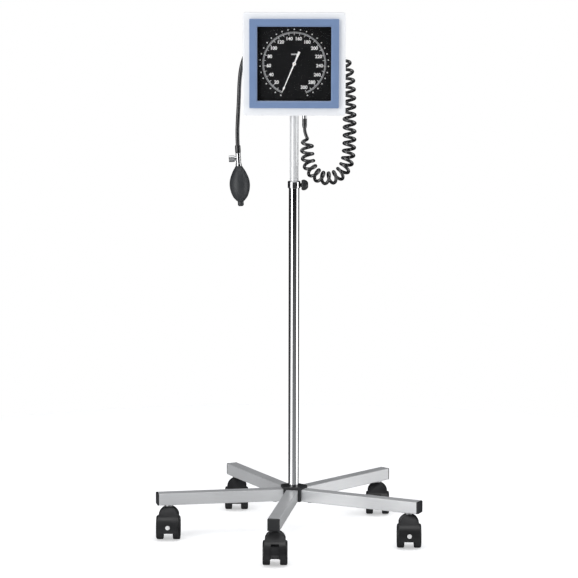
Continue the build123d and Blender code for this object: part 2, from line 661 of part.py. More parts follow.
with BuildPart() as gauge_inlet:
    with BuildSketch(Plane(at(INLET_X, INLET_Y, 0), x_dir=(1, 0, 0), z_dir=(0, -1, 0))):
        with BuildLine():
            Polyline(
                (0, BARB_BOTTOM), (1.8, BARB_BOTTOM), (2.4, BARB_BOTTOM + 3.0), (2.0, BARB_BOTTOM + 3.0),
                (2.4, BARB_BOTTOM + 6.5), (2.0, BARB_BOTTOM + 6.5), (2.0, SLEEVE_TOP), (4.7, SLEEVE_TOP),
                (4.7, CASE_BOTTOM), (4.0, CASE_BOTTOM), (4.0, INLET_TOP - 3.0), (2.5, INLET_TOP),
                (0, INLET_TOP), close=True,
            )
        make_face()
    revolve(axis=Axis(at(INLET_X, INLET_Y, 0), (0, 0, 1)))
save(gauge_inlet, "gauge_inlet")

with BuildPart() as pointer:
    # The needle points at zero, 23 degrees to the left of straight down
    with BuildSketch(facing(-45.5, z=DIAL_CENTRE_Z, turned=ZERO_ANGLE)):
        with BuildLine():
            Polyline(
                (64.5, 0.25), (58.0, 0.7), (54.0, 2.3), (50.0, 0.8), (3.0, 1.4), (-10.0, 1.6), (-26.6, 2.6),
                (-26.6, -2.6), (-10.0, -1.6), (3.0, -1.4), (50.0, -0.8), (54.0, -2.3), (58.0, -0.7),
                (64.5, -0.25), close=True,
            )
        make_face()
    extrude(amount=0.8)
    with BuildSketch(facing(-45.0, z=DIAL_CENTRE_Z)):
        Circle(3.7)
    extrude(amount=2.0)
    with BuildSketch(facing(-44.0, z=DIAL_CENTRE_Z)):
        Circle(ARBOR_RADIUS)
    extrude(amount=4.0, mode=Mode.SUBTRACT)
save(pointer, "pointer")

# ---- Cuff basket and cuff -------------------------------------------------------------------
CUFF_RADIUS = 31.0
CUFF_Y = BOX_BACK + BASKET_DEPTH / 2
CUFF_HEIGHT = 145.0
BASKET_CORNER = 12.0
RIM_WIDTH = 2.5
RIM_HEIGHT = 3.0

with BuildPart() as cuff_basket:
    with BuildSketch(level(BASKET_BOTTOM, 0, CUFF_Y)):
        RectangleRounded(2 * BASKET_HALF_WIDTH, BASKET_DEPTH, BASKET_CORNER)
    extrude(amount=BASKET_TOP - BASKET_BOTTOM)
    fillet(cuff_basket.faces().sort_by(Axis.Z)[0].edges(), 4.0)
    # The rim turns out on the three free sides
    with BuildSketch(level(BASKET_TOP - RIM_HEIGHT, 0, CUFF_Y + RIM_WIDTH / 2)):
        RectangleRounded(2 * (BASKET_HALF_WIDTH + RIM_WIDTH), BASKET_DEPTH + RIM_WIDTH, BASKET_CORNER)
    extrude(amount=RIM_HEIGHT)
    with BuildSketch(level(BASKET_BOTTOM + BASKET_WALL, 0, CUFF_Y)):
        RectangleRounded(
            2 * (BASKET_HALF_WIDTH - BASKET_WALL), BASKET_DEPTH - 2 * BASKET_WALL,
            BASKET_CORNER - BASKET_WALL,
        )
    extrude(amount=BASKET_TOP - BASKET_BOTTOM, mode=Mode.SUBTRACT)
    for screw_x, screw_z in BASKET_SCREWS:
        with BuildSketch(facing(BOX_BACK - 1.0, screw_x, screw_z)):
            Circle(2.1)
        extrude(amount=-BASKET_WALL - 2.0, mode=Mode.SUBTRACT)
save(cuff_basket, "cuff_basket")

with BuildPart() as cuff:
    with BuildSketch(level(BASKET_BOTTOM + BASKET_WALL, 0, CUFF_Y)):
        Circle(CUFF_RADIUS)
    extrude(amount=CUFF_HEIGHT)
    fillet(cuff.edges().filter_by(GeomType.CIRCLE), 4.0)
save(cuff, "cuff")


# ---- Hoses ----------------------------------------------------------------------------------
def corner_radii(points):
    """The radius of the arc at each corner of a hose's route: as large as its two runs allow."""
    radii = []
    for before, corner, after in zip(points, points[1:], points[2:]):
        turn = math.radians((corner - before).get_angle(after - corner))
        shorter = min((corner - before).length, (after - corner).length)
        radii.append(0.45 * shorter / math.tan(turn / 2))
    return radii


def report_route(label, points, radii, piece, section_radius, path_length):
    """Print a hose's radii, and its volume beside its section times its length."""
    expected = math.pi * section_radius**2 * path_length
    volume = piece.part.volume
    print(label, "radii", [round(radius, 1) for radius in radii])
    print(label, "length", round(path_length, 1), "volume", round(volume), "expected", round(expected))


# The route of the coiled hose's axis, from behind the right-hand edge of the case, down, round
# under the case and up to the gauge's inlet
COIL_ROUTE = [
    at(102.5, 21, 1001), at(108.5, 16, 974), at(113, 11, 940), at(114.2, 8, 897), at(114.6, 5, 855),
    at(114.3, 1, 815), at(109.5, -6, 776), at(87, -16, 752), at(54, -28, 752), at(30.5, -39, 776),
    at(26.5, -43, 810), at(26, -43, 829),
]
# From the coil's upper end over the basket's rim to the cuff
COIL_TAIL_ROUTE = [
    at(102.5, 21, 1001), at(98.659, 24.201, 1018.287), at(84, 31.5, 1031), at(64, 40.5, 1030),
    at(48, 45, 1021), at(34, 47, 1012),
]
# From the coil's lower end to the sleeve under the gauge's inlet
COIL_LEAD_ROUTE = [at(26, -43, 829), at(25.71, -43, 840), at(21.5, -40, 850), at(21.5, -40, 861)]
# From the cuff over the basket's rim and down to the valve of the bulb
BULB_HOSE_ROUTE = [
    at(-34, 47, 1012), at(-54, 44, 1022), at(-78, 38, 1028), at(-98.5, 28, 1012.5),
    at(-109.5, 19, 984), at(-113.6, 12.5, 951), at(-114.6, 8, 913), at(-116.7, 6, 874),
    at(-118.193, 5, 836.94), at(-116.35, 5, 802.3),
]


for label, route, section_radius in (
    ("coil_hose", COIL_ROUTE, COIL_RADIUS),
    ("coil_tail", COIL_TAIL_ROUTE, COIL_HOSE_DIAMETER / 2),
    ("coil_lead", COIL_LEAD_ROUTE, COIL_HOSE_DIAMETER / 2),
    ("bulb_hose", BULB_HOSE_ROUTE, BULB_HOSE_RADIUS),
):
    radii = corner_radii(route)
    with BuildPart() as hose:
        with BuildLine() as hose_line:
            FilletPolyline(*route, radius=radii)
        with BuildSketch(Plane(route[0], z_dir=route[1] - route[0])):
            Circle(section_radius)
        sweep(path=hose_line.wires()[0])
    report_route(label, route, radii, hose, section_radius, hose_line.wires()[0].length)
    save(hose, label)

# The grommets through which the two hoses enter the cuff
with BuildPart() as cuff_ports:
    for end, neighbour in (BULB_HOSE_ROUTE[:2], COIL_TAIL_ROUTE[:-3:-1]):
        with BuildSketch(Plane(end, z_dir=end - neighbour)):
            Circle(5.5)
        extrude(amount=12.0)
    with BuildSketch(level(BASKET_BOTTOM, 0, CUFF_Y)):
        Circle(CUFF_RADIUS + 0.05)
    extrude(amount=CUFF_HEIGHT + 20.0, mode=Mode.SUBTRACT)
save(cuff_ports, "cuff_ports")

# ---- Bulb and valve -------------------------------------------------------------------------
# They hang on one line that leans a little, from the valve's upper end down
VALVE_TOP = BULB_HOSE_ROUTE[-1]
BULB_DOWN = Vector(6.8, 0, -127.8).normalized()
BULB_RIGHT = Vector(-BULB_DOWN.Z, 0, BULB_DOWN.X)
BULB_LINE = Axis(VALVE_TOP, BULB_DOWN)
VALVE_LENGTH = 22.5
FLANGE_LENGTH = 4.6
BULB_START = VALVE_LENGTH + FLANGE_LENGTH
BULB_LENGTH = 74.6
THUMB_SCREW_DROP = 11.8
THUMB_SCREW_CENTRE = VALVE_TOP + BULB_DOWN * THUMB_SCREW_DROP
BULB_PROFILE = Plane(VALVE_TOP, x_dir=BULB_RIGHT, z_dir=(0, 1, 0))


def across_valve(distance):
    """A plane across the thumb screw's axis, this far to the left of the valve's own axis."""
    return Plane(THUMB_SCREW_CENTRE - BULB_RIGHT * distance, x_dir=(0, 1, 0), z_dir=BULB_RIGHT * -1)


with BuildPart() as hose_sleeves:
    # Over the end of the bulb's hose
    with BuildSketch(BULB_PROFILE):
        with BuildLine():
            Polyline(
                (4.2, -15.4), (5.3, -15.4), (5.8, -12.0), (5.8, -1.0), (5.4, 0.0), (4.2, 0.0), close=True
            )
        make_face()
    revolve(axis=BULB_LINE)
    # Over the end of the coiled hose and the inlet's barb
    with BuildSketch(Plane(at(INLET_X, INLET_Y, 0), x_dir=(1, 0, 0), z_dir=(0, -1, 0))):
        with BuildLine():
            Polyline(
                (3.4, BARB_BOTTOM - 1.0), (3.4, 857.5), (4.2, 857.5), (4.9, 862.0), (4.9, SLEEVE_TOP - 0.8),
                (4.5, SLEEVE_TOP), (2.5, SLEEVE_TOP), (2.5, BARB_BOTTOM - 1.0), close=True,
            )
        make_face()
    revolve(axis=Axis(at(INLET_X, INLET_Y, 0), (0, 0, 1)))
save(hose_sleeves, "hose_sleeves")

with BuildPart() as valve_body:
    with BuildSketch(BULB_PROFILE):
        with BuildLine():
            Polyline(
                (0, 0), (4.6, 0), (5.3, 0.8), (5.3, VALVE_LENGTH), (6.3, VALVE_LENGTH + 0.6),
                (6.3, BULB_START), (0, BULB_START), close=True,
            )
        make_face()
    revolve(axis=BULB_LINE)
    with BuildSketch(across_valve(0)):
        Circle(4.4)
    extrude(amount=7.4)
    with BuildSketch(across_valve(1.0)):
        Circle(2.5 + RUNNING_FIT)
    extrude(amount=8.0, mode=Mode.SUBTRACT)
save(valve_body, "valve_body")

with BuildPart() as valve_screw:
    with BuildSketch(across_valve(1.5)):
        Circle(2.5)
    extrude(amount=6.5)
    with BuildSketch(across_valve(7.9)):
        Circle(6.9)
        with PolarLocations(7.3, 20):
            Circle(0.8, mode=Mode.SUBTRACT)
    extrude(amount=11.6)
    chamfer(valve_screw.faces().sort_by(Axis.X)[0].edges(), 0.35)
save(valve_screw, "valve_screw")

with BuildPart() as bulb:
    with BuildSketch(BULB_PROFILE):
        with BuildLine():
            Line((0, BULB_START), (6.0, BULB_START))
            Spline(
                (6.0, BULB_START), (13.5, BULB_START + 12.0), (20.2, BULB_START + 30.0),
                (20.6, BULB_START + 47.0), (14.8, BULB_START + 65.0), (6.2, BULB_START + BULB_LENGTH),
            )
            Line((6.2, BULB_START + BULB_LENGTH), (0, BULB_START + BULB_LENGTH))
            Line((0, BULB_START + BULB_LENGTH), (0, BULB_START))
        make_face()
    revolve(axis=BULB_LINE)
save(bulb, "bulb")

with BuildPart() as bulb_end_valve:
    with BuildSketch(BULB_PROFILE):
        with BuildLine():
            bulb_end = BULB_START + BULB_LENGTH
            Polyline(
                (0, bulb_end), (6.2, bulb_end), (6.2, bulb_end + 7.0), (4.6, bulb_end + 9.4),
                (1.5, bulb_end + 9.4), (1.5, bulb_end + 7.0), (0, bulb_end + 7.0), close=True,
            )
        make_face()
    revolve(axis=BULB_LINE)
save(bulb_end_valve, "bulb_end_valve")

# ---- Castors --------------------------------------------------------------------------------
# Each trails towards -Y at rest, so its axle lies along X
HOOD_RADIUS = 30.0
HOOD_BORE = 26.2
WEB_HALF_WIDTH = 9.2
BRAKED_CASTORS = (1, 3)
LEVER_HALF_WIDTH = 7.6
LEVER_SLOT_HALF_WIDTH = 8.1
LEVER_PIVOT = (-CASTOR_TRAIL - 24.2, WHEEL_RADIUS + 13.6)
LEVER_PIN_RADIUS = 1.5
ARCH_BASE = 50.0
PLUG_RADIUS = 4.5
PLUG_Z = 30.0
PLUG_REACH = 50.4
PLUG_DEPTH = 3.0

for number, leg_angle in enumerate(LEG_ANGLES, start=1):
    centre_x, centre_y = polar(CASTOR_RADIUS, leg_angle)
    wheel_y = centre_y - CASTOR_TRAIL
    with BuildPart() as castor_housing:
        # The hood's outline from the side, cut to an arch as seen from the front
        with BuildSketch(side_plane(centre_x, centre_y, -HOOD_HALF_WIDTH)):
            with Locations((-CASTOR_TRAIL, WHEEL_RADIUS)):
                Circle(HOOD_RADIUS)
            with BuildLine():
                Polyline(
                    (-36.0, 50.3), (-9.5, HOOD_TOP), (9.5, HOOD_TOP), (11.0, 40.0), (-20.0, 30.0),
                    close=True,
                )
            make_face()
        extrude(amount=2 * HOOD_HALF_WIDTH)
        with BuildSketch(Plane(at(centre_x, centre_y - 60.0, 0), x_dir=(1, 0, 0), z_dir=(0, -1, 0))):
            with BuildLine():
                Polyline(
                    (-HOOD_HALF_WIDTH, ARCH_BASE), (-HOOD_HALF_WIDTH, 0),
                    (HOOD_HALF_WIDTH, 0), (HOOD_HALF_WIDTH, ARCH_BASE),
                )
                ThreePointArc((HOOD_HALF_WIDTH, ARCH_BASE), (0, HOOD_TOP), (-HOOD_HALF_WIDTH, ARCH_BASE))
            make_face()
        extrude(amount=-90.0, mode=Mode.INTERSECT)
        # Room for the wheels on both sides of the web
        for offset in (WEB_HALF_WIDTH, -WEB_HALF_WIDTH - 20.0):
            with BuildSketch(side_plane(centre_x, centre_y, offset)):
                with Locations((-CASTOR_TRAIL, WHEEL_RADIUS)):
                    Circle(HOOD_BORE)
            extrude(amount=20.0, mode=Mode.SUBTRACT)
        # Below the hood only the web's boss round the axle is left
        with BuildSketch(side_plane(centre_x, centre_y, -HOOD_HALF_WIDTH)):
            with BuildLine():
                Polyline(
                    (-60.0, 19.0), (-32.0, 15.0), (-8.0, 15.0), (20.0, 30.0), (20.0, -10.0), (-60.0, -10.0),
                    close=True,
                )
            make_face()
        extrude(amount=2 * HOOD_HALF_WIDTH, mode=Mode.SUBTRACT)
        with BuildSketch(level(STEM_BOTTOM - 0.5, centre_x, centre_y)):
            Circle(STEM_RADIUS + RUNNING_FIT)
        extrude(amount=HOOD_TOP, mode=Mode.SUBTRACT)
        with BuildSketch(side_plane(centre_x, centre_y, -22.0)):
            with Locations((-CASTOR_TRAIL, WHEEL_RADIUS)):
                Circle(AXLE_RADIUS)
        extrude(amount=44.0)
        if number not in BRAKED_CASTORS:
            # The round plug on a hood that has no lever
            with BuildSketch(facing(centre_y - PLUG_REACH, centre_x, PLUG_Z)):
                Circle(PLUG_RADIUS)
            extrude(amount=-PLUG_DEPTH)
        else:
            with BuildSketch(side_plane(centre_x, centre_y, -LEVER_SLOT_HALF_WIDTH)):
                with BuildLine():
                    Polyline(
                        (-60.0, 10.0), (-60.0, 50.0), (-36.0, 46.0), (-38.5, 28.0), (-41.0, 10.0),
                        close=True,
                    )
                make_face()
            extrude(amount=2 * LEVER_SLOT_HALF_WIDTH, mode=Mode.SUBTRACT)
            with BuildSketch(side_plane(centre_x, centre_y, -12.0)):
                with Locations(LEVER_PIVOT):
                    Circle(LEVER_PIN_RADIUS + RUNNING_FIT)
            extrude(amount=24.0, mode=Mode.SUBTRACT)
    save(castor_housing, f"castor_{number}_housing")
    if number in BRAKED_CASTORS:
        with BuildPart() as brake_lever:
            with BuildSketch(side_plane(centre_x, centre_y, -LEVER_HALF_WIDTH)):
                with BuildLine():
                    Polyline(
                        (-42.8, 42.6), (-46.2, 42.0), (-49.6, 36.5), (-50.6, 26.5), (-56.0, 23.6),
                        (-56.0, 20.6), (-46.6, 20.6), (-44.8, 30.0), (-42.6, 36.0), close=True,
                    )
                make_face()
            extrude(amount=2 * LEVER_HALF_WIDTH)
            with BuildSketch(side_plane(centre_x, centre_y, -11.0)):
                with Locations(LEVER_PIVOT):
                    Circle(LEVER_PIN_RADIUS)
            extrude(amount=22.0)
        save(brake_lever, f"castor_{number}_brake_lever")
    bore = AXLE_RADIUS + RUNNING_FIT
    for side, inner in (("left", -WHEEL_GAP / 2), ("right", WHEEL_GAP / 2)):
        outward = 1 if inner > 0 else -1
        profile_plane = Plane(
            at(centre_x + inner, wheel_y, WHEEL_RADIUS), x_dir=(outward, 0, 0), z_dir=(0, -outward, 0)
        )
        with BuildPart() as wheel:
            with BuildSketch(profile_plane):
                with BuildLine():
                    Polyline(
                        (0, bore), (0, 9.0), (4.0, 9.0), (4.0, 20.0), (0, 20.0), (0, 23.5),
                        (1.5, WHEEL_RADIUS), (12.4, WHEEL_RADIUS), (14.4, 23.9), (WHEEL_WIDTH, 22.2),
                        (WHEEL_WIDTH, 19.5), (14.0, 18.5), (14.0, 8.0), (WHEEL_WIDTH, 6.5),
                        (WHEEL_WIDTH, 0), (12.3, 0), (12.3, bore), close=True,
                    )
                make_face()
            revolve(axis=Axis(profile_plane.origin, (1, 0, 0)))
        save(wheel, f"castor_{number}_wheel_{side}")
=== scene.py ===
import json
import math

import bmesh
import bpy
from mathutils import Matrix, Vector, noise


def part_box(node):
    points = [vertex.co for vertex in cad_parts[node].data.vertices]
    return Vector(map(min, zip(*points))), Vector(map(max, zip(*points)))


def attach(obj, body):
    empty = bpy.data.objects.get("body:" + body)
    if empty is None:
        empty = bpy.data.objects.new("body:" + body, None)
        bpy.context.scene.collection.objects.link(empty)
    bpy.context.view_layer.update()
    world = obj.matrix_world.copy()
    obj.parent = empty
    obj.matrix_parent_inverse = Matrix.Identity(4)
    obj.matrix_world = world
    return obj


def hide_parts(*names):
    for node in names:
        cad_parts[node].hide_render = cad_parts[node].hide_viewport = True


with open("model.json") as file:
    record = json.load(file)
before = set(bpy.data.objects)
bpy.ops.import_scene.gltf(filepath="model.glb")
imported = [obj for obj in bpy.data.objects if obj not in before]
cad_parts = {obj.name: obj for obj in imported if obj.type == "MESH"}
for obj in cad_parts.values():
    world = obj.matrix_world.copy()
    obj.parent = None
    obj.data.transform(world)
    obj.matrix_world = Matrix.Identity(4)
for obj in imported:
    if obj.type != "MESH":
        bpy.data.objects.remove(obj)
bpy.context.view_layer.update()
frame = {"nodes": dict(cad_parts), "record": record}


def middle(name):
    """The middle of a CAD node's box."""
    low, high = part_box(name)
    return (low + high) / 2


MAST = middle("mast_outer")


def at(x, y, z):
    """A point given from the mast's axis, in the object's frame."""
    return Vector((MAST.x + x, MAST.y + y, z))


def new_object(name, data):
    """Link a new object to the scene."""
    made = bpy.data.objects.new(name, data)
    bpy.context.scene.collection.objects.link(made)
    return made


# ---- Camera -----------------------------------------------------------------------------------
# Angles in radians, and the lens and its sensor in millimetres
CAMERA_PLACE = at(0.0342, -5.0978, 1.2235)
CAMERA_DOWN = 0.1375
CAMERA_TO_LEFT = 0.0087
CAMERA_ROLL = 0.0019
CAMERA_LENS = 153.64
CAMERA_SENSOR = 36.0


def make_camera():
    """The camera, far off, in front of the mast and a little above the dial."""
    data = bpy.data.cameras.new("camera")
    data.sensor_width = CAMERA_SENSOR
    data.lens = CAMERA_LENS
    camera = new_object("camera", data)
    level = Vector((-math.sin(CAMERA_TO_LEFT), math.cos(CAMERA_TO_LEFT), 0))
    forward = level * math.cos(CAMERA_DOWN) + Vector((0, 0, -math.sin(CAMERA_DOWN)))
    right = Vector((math.cos(CAMERA_TO_LEFT), math.sin(CAMERA_TO_LEFT), 0))
    up = right.cross(forward)
    roll = Matrix.Rotation(-CAMERA_ROLL, 3, forward)
    turned = Matrix((roll @ right, roll @ up, -forward)).transposed()
    camera.matrix_world = Matrix.Translation(CAMERA_PLACE) @ turned.to_4x4()
    bpy.context.scene.camera = camera


make_camera()


# ---- Hoses ------------------------------------------------------------------------------------
# The routes are the CAD source's, from the mast's axis
COIL_LEAD_ROUTE = [
    at(0.026, -0.043, 0.829), at(0.02571, -0.043, 0.840), at(0.0215, -0.040, 0.850),
    at(0.0215, -0.040, 0.861),
]
COIL_ROUTE = [
    at(0.1025, 0.021, 1.001), at(0.1085, 0.016, 0.974), at(0.113, 0.011, 0.940), at(0.1142, 0.008, 0.897),
    at(0.1146, 0.005, 0.855), at(0.1143, 0.001, 0.815), at(0.1095, -0.006, 0.776), at(0.087, -0.016, 0.752),
    at(0.054, -0.028, 0.752), at(0.0305, -0.039, 0.776), at(0.0265, -0.043, 0.810),
    at(0.026, -0.043, 0.829),
]
COIL_TAIL_ROUTE = [
    at(0.1025, 0.021, 1.001), at(0.098659, 0.024201, 1.018287), at(0.084, 0.0315, 1.031),
    at(0.064, 0.0405, 1.030), at(0.048, 0.045, 1.021), at(0.034, 0.047, 1.012),
]
BULB_HOSE_ROUTE = [
    at(-0.034, 0.047, 1.012), at(-0.054, 0.044, 1.022), at(-0.078, 0.038, 1.028),
    at(-0.0985, 0.028, 1.0125), at(-0.1095, 0.019, 0.984), at(-0.1136, 0.0125, 0.951),
    at(-0.1146, 0.008, 0.913), at(-0.1167, 0.006, 0.874), at(-0.118193, 0.005, 0.83694),
    at(-0.11635, 0.005, 0.8023),
]
COIL_HOSE_DIAMETER = 0.0068
# The control points' distance from the coil's axis; the hose's own line runs a little inside them
COIL_TURN_RADIUS = 0.0114
# The turns' pitch along the coil, from the gauge's inlet to the cuff: (share of the length, metres)
COIL_PITCHES = [(0.0, 0.0186), (0.12, 0.0156), (0.42, 0.0154), (0.6, 0.0168), (0.85, 0.0176), (1.0, 0.0205)]
# The turns open over this length at each end, and begin this far before the coil's own route
COIL_EASE = 0.017
COIL_HEAD_START = 0.012
POINTS_PER_TURN = 16
STRAIGHT_STEP = 0.004
BULB_HOSE_DIAMETER = 0.0082


def curve_through(name, points, diameter, resolution):
    """A round hose on one smooth NURBS line with those control points."""
    data = bpy.data.curves.new(name, "CURVE")
    data.dimensions = "3D"
    spline = data.splines.new("NURBS")
    spline.points.add(len(points) - 1)
    for knot, point in zip(spline.points, points):
        knot.co = (*point, 1.0)
        knot.radius = diameter / 2
    spline.order_u = 3
    spline.use_endpoint_u = True
    spline.resolution_u = resolution
    data.bevel_depth = 1.0 if diameter else 0.0
    data.bevel_resolution = 6
    data.use_fill_caps = True
    return new_object(name, data)


def points_of_line(points):
    """Closely spaced points along the NURBS line of a route."""
    guide = curve_through("guide", points, 0.0, resolution=64)
    mesh = bpy.data.meshes.new_from_object(guide)
    line = [vertex.co.copy() for vertex in mesh.vertices]
    bpy.data.objects.remove(guide)
    return line


def run_length(points):
    """The length of the straight runs between points."""
    return sum((after - before).length for before, after in zip(points, points[1:]))


def between(table, share):
    """The value at a share of the way through a table of (share, value)."""
    for (low, first), (high, last) in zip(table, table[1:]):
        if share <= high:
            return first + (last - first) * max(0.0, share - low) / (high - low)
    return table[-1][1]


def eased(share):
    """A smooth step from 0 to 1."""
    share = max(0.0, min(1.0, share))
    return share * share * (3 - 2 * share)


def helix_about(line, start, end):
    """A left-handed helix about a line, between two lengths along it, that eases in and out of the line."""
    lengths = [0.0]
    for before, after in zip(line, line[1:]):
        lengths.append(lengths[-1] + (after - before).length)
    total = lengths[-1]
    points, phase, place, index = [], 0.0, 0.0, 0
    side = Vector((1, 0, 0))
    while place < total - STRAIGHT_STEP / 2:
        while lengths[index + 1] < place:
            index += 1
        share = (place - lengths[index]) / (lengths[index + 1] - lengths[index])
        centre = line[index].lerp(line[index + 1], share)
        along = (line[index + 1] - line[index]).normalized()
        side = (side - along * side.dot(along)).normalized()
        across = side.cross(along)
        radius = COIL_TURN_RADIUS * eased(min((place - start) / COIL_EASE, (end - place) / COIL_EASE))
        points.append(centre + (side * math.cos(phase) + across * math.sin(phase)) * radius)
        pitch = between(COIL_PITCHES, (place - start) / (end - start))
        inside = start < place < end
        place += pitch / POINTS_PER_TURN if inside else STRAIGHT_STEP
        phase += 2 * math.pi / POINTS_PER_TURN if inside else 0.0
    return points + [line[-1]]


def make_hoses():
    """The coiled hose from the gauge's inlet to the cuff, and the plain one from the cuff to the bulb."""
    line = points_of_line(COIL_LEAD_ROUTE[::-1] + COIL_ROUTE[-2::-1] + COIL_TAIL_ROUTE[1:])
    coil_start = run_length(COIL_LEAD_ROUTE) - COIL_HEAD_START
    coil_end = run_length(line) - run_length(COIL_TAIL_ROUTE)
    turns = helix_about(line, coil_start, coil_end)
    coiled = curve_through("coiled_hose", turns, COIL_HOSE_DIAMETER, resolution=3)
    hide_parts("coil_hose", "coil_tail", "coil_lead")
    plain = curve_through("bulb_tube", BULB_HOSE_ROUTE, BULB_HOSE_DIAMETER, resolution=16)
    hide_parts("bulb_hose")
    for hose in (coiled, plain):
        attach(hose, "head")
    return coiled, plain


coiled_hose, bulb_tube = make_hoses()


# ---- Light and floor --------------------------------------------------------------------------
FLOOR_RADIUS = 1.5
FLOOR_GLOW = 0.45
BACKDROP = (1.0, 1.0, 1.0)
ROOM_LIGHT = (0.42, 0.43, 0.45)
# What shiny pieces reflect: dark drapes, and a floor that is grey in front and nearly black behind
DRAPES = (0.012, 0.012, 0.013)
FLOOR_IN_FRONT = (0.28, 0.285, 0.29)
FLOOR_BEHIND = (0.02, 0.02, 0.021)
# The directions between which each one turns into the next, as parts of a unit vector
FLOOR_FRONT_TO_BACK = (-0.45, 0.5)
DRAPES_TO_FLOOR = (-0.10, -0.22)


def add(tree, kind, inputs=None, **settings):
    """A new node. Its inputs are other nodes' outputs, which are linked, or plain values."""
    made = tree.nodes.new(kind)
    for key, value in settings.items():
        setattr(made, key, value)
    for key, value in (inputs or {}).items():
        if isinstance(value, bpy.types.NodeSocket):
            tree.links.new(value, made.inputs[key])
        else:
            made.inputs[key].default_value = value
    return made


def mixed(tree, factor, first, last):
    """The colour between two colours."""
    mix = add(tree, "ShaderNodeMix", data_type="RGBA")
    tree.links.new(factor, mix.inputs["Factor"])
    for key, value in (("A", first), ("B", last)):
        if isinstance(value, bpy.types.NodeSocket):
            tree.links.new(value, mix.inputs[key])
        else:
            mix.inputs[key].default_value = (*value, 1)
    return mix.outputs["Result"]


def ranged(tree, value, low, high, to_low=0.0, to_high=1.0):
    """A value carried from one range to another, and held at its ends."""
    limits = {"Value": value, "From Min": low, "From Max": high, "To Min": to_low, "To Max": to_high}
    return add(tree, "ShaderNodeMapRange", limits).outputs["Result"]


def soft_box(name, azimuth, distance, height, size, power, tilt=0.0):
    """A rectangular studio light that faces the mast. Azimuth 0 is in front, positive to the right.

    Distance, height and size are in metres, the power is in watts and the azimuth in degrees.
    """
    data = bpy.data.lights.new(name, "AREA")
    data.shape = "RECTANGLE"
    data.size, data.size_y = size
    data.energy = power
    light = new_object(name, data)
    turn = math.radians(azimuth)
    light.location = at(distance * math.sin(turn), -distance * math.cos(turn), height)
    light.rotation_euler = (math.pi / 2 - tilt, 0, turn)
    light.visible_camera = False


def make_world():
    """White to the eye. In reflections there are only dark drapes, and a grey floor that darkens behind."""
    world = bpy.data.worlds.new("studio")
    world.use_nodes = True
    bpy.context.scene.world = world
    tree = world.node_tree
    direction = add(tree, "ShaderNodeTexCoord").outputs["Generated"]
    axes = add(tree, "ShaderNodeSeparateXYZ", {"Vector": direction})
    backward = ranged(tree, axes.outputs["Y"], *FLOOR_FRONT_TO_BACK)
    downward = ranged(tree, axes.outputs["Z"], *DRAPES_TO_FLOOR)
    floor = mixed(tree, backward, FLOOR_IN_FRONT, FLOOR_BEHIND)
    reflected = mixed(tree, downward, DRAPES, floor)
    path = add(tree, "ShaderNodeLightPath")
    unseen = mixed(tree, path.outputs["Is Glossy Ray"], ROOM_LIGHT, reflected)
    seen = mixed(tree, path.outputs["Is Camera Ray"], unseen, BACKDROP)
    tree.links.new(seen, tree.nodes["Background"].inputs["Color"])


def make_floor():
    """A round pale floor that glows a little, so that it fades into the white behind it."""
    mesh = bpy.data.meshes.new("floor")
    shape = bmesh.new()
    bmesh.ops.create_circle(shape, cap_ends=True, segments=96, radius=FLOOR_RADIUS)
    shape.to_mesh(mesh)
    shape.free()
    floor = new_object("floor", mesh)
    material = bpy.data.materials.new("floor_white")
    material.use_nodes = True
    shader = material.node_tree.nodes["Principled BSDF"]
    shader.inputs["Base Color"].default_value = (0.9, 0.9, 0.9, 1)
    shader.inputs["Roughness"].default_value = 0.9
    shader.inputs["Emission Color"].default_value = (1, 1, 1, 1)
    shader.inputs["Emission Strength"].default_value = FLOOR_GLOW
    mesh.materials.append(material)
    floor.visible_glossy = False


make_world()
make_floor()
soft_box("light_left", -48.0, 1.9, 0.85, (0.95, 2.8), 25.0)
soft_box("light_right", 80.0, 1.9, 0.8, (1.25, 2.8), 23.0)
soft_box("light_top", 0.0, 0.5, 2.6, (1.8, 1.4), 16.0, tilt=math.radians(75))
bpy.context.scene.view_settings.view_transform = "Standard"


# ---- Materials --------------------------------------------------------------------------------
# Nearly all of the sum of two noise textures lies between these
NOISE_SUM = (0.7, 1.3)
SMOOTHEST = 0.02


def surface(name, colour, roughness, grain=900.0, depth=0.00003, tint=0.05, spread=0.05, patches=30.0,
            stretch=1.0, turn=0.0, uv=False, **sockets):
    """A material with a fine grain, and with a colour and a roughness that wander over larger patches.

    The grain has that many bumps in a metre, each that deep in metres, and is stretched along a line
    at the angle turn. The colour varies by tint and the roughness by spread, over patches to a metre.
    """
    material = bpy.data.materials.new(name)
    material.use_nodes = True
    tree = material.node_tree
    shader = tree.nodes["Principled BSDF"]
    place = add(tree, "ShaderNodeTexCoord").outputs["UV" if uv else "Object"]
    size = (stretch / grain, 1 / grain, 1 / grain)
    laid = add(tree, "ShaderNodeMapping", {"Vector": place, "Rotation": (0, 0, turn), "Scale": size},
               vector_type="TEXTURE").outputs["Vector"]
    fine = add(tree, "ShaderNodeTexNoise", {"Vector": laid, "Scale": 1.0, "Detail": 3.0}).outputs[0]
    broad = add(tree, "ShaderNodeTexNoise", {"Vector": place, "Scale": patches, "Detail": 4.0}).outputs[0]
    dark = [channel * (1 - tint) for channel in colour]
    light = [min(1.0, channel * (1 + tint)) for channel in colour]
    both = add(tree, "ShaderNodeMath", {0: fine, 1: broad}, operation="ADD").outputs[0]
    tone = mixed(tree, ranged(tree, both, *NOISE_SUM), dark, light)
    tree.links.new(tone, shader.inputs["Base Color"])
    rough = ranged(tree, both, *NOISE_SUM, max(SMOOTHEST, roughness - spread), roughness + spread)
    tree.links.new(rough, shader.inputs["Roughness"])
    bump = add(tree, "ShaderNodeBump", {"Height": fine, "Strength": 1.0, "Distance": depth})
    tree.links.new(bump.outputs["Normal"], shader.inputs["Normal"])
    for key, value in sockets.items():
        shader.inputs[key.replace("_", " ")].default_value = value
    return material


